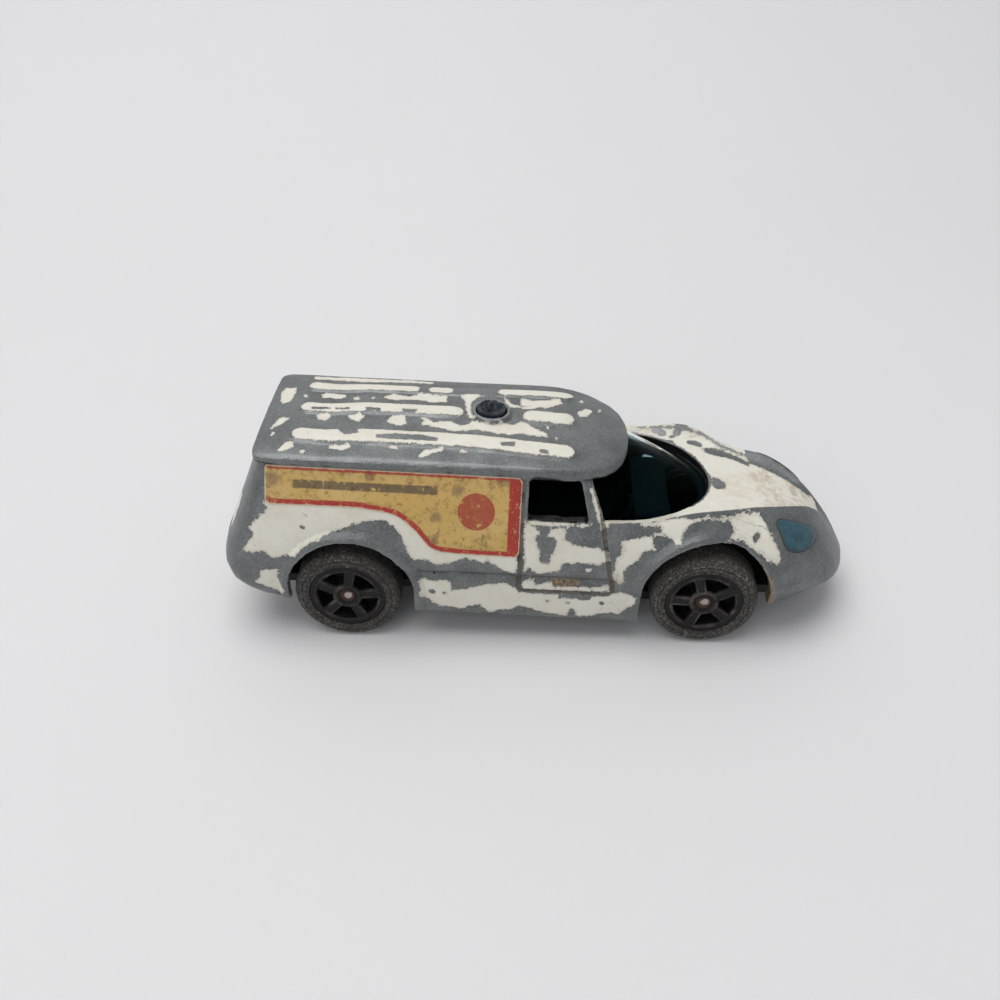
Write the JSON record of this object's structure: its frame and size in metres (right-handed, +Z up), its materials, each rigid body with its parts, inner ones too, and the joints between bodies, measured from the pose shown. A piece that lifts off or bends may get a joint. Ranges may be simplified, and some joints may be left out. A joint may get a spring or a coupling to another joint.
{
  "type": "toy ambulance",
  "caption": "Small worn die-cast toy ambulance: cast body with a ribbed roof, tinted wrap-round glazing, and spoked wheels that roll freely on steel axles.",
  "frame": {"origin": "on the ground, below the middle of the length and width", "axes": "+X towards the nose, +Y to the toy's left, +Z up"},
  "size_m": [0.0715, 0.0238, 0.0246],
  "materials": {
    "body_enamel": "chipped cream enamel over grey zinc casting",
    "base_metal": "dull dark metal",
    "steel": "tarnished",
    "cab_plastic": "matt",
    "blue_glazing": "clear, tinted blue",
    "blue_lens": "tinted blue",
    "lamp_plastic": "broken face",
    "label_film": "aged printed film",
    "wheel_plastic": "satin",
    "tyre_plastic": "scuffed"
  },
  "bodies": {
    "body": {"body_shell": "body_enamel", "base_plate": "base_metal", "base_rivets": "steel", "cab_interior": "cab_plastic", "steering_wheel": "cab_plastic", "windscreen_glazing": "blue_glazing", "headlamp_lens_left": "blue_lens", "headlamp_lens_right": "blue_lens", "roof_lamp_stub": "lamp_plastic", "side_label_left": "label_film", "side_label_right": "label_film"},
    "front_axle": {"front_axle": "steel"},
    "rear_axle": {"rear_axle": "steel"},
    "front_left": {"front_wheel_left": "wheel_plastic", "front_tyre_left": "tyre_plastic"},
    "front_right": {"front_wheel_right": "wheel_plastic", "front_tyre_right": "tyre_plastic"},
    "rear_left": {"rear_wheel_left": "wheel_plastic", "rear_tyre_left": "tyre_plastic"},
    "rear_right": {"rear_wheel_right": "wheel_plastic", "rear_tyre_right": "tyre_plastic"}
  },
  "joints": [
    {"name": "front_axle_turn", "type": "hinge", "parent": "body", "child": "front_axle", "pos_m": [0.01855, 0, 0.006], "axis": [0, 1, 0], "continuous": true},
    {"name": "rear_axle_turn", "type": "hinge", "parent": "body", "child": "rear_axle", "pos_m": [-0.02125, 0, 0.006], "axis": [0, 1, 0], "continuous": true},
    {"name": "front_left_roll", "type": "hinge", "parent": "front_axle", "child": "front_left", "pos_m": [0.01855, 0.009, 0.006], "axis": [0, 1, 0], "continuous": true},
    {"name": "front_right_roll", "type": "hinge", "parent": "front_axle", "child": "front_right", "pos_m": [0.01855, -0.009, 0.006], "axis": [0, 1, 0], "continuous": true},
    {"name": "rear_left_roll", "type": "hinge", "parent": "rear_axle", "child": "rear_left", "pos_m": [-0.02125, 0.009, 0.006], "axis": [0, 1, 0], "continuous": true},
    {"name": "rear_right_roll", "type": "hinge", "parent": "rear_axle", "child": "rear_right", "pos_m": [-0.02125, -0.009, 0.006], "axis": [0, 1, 0], "continuous": true}
  ]
}
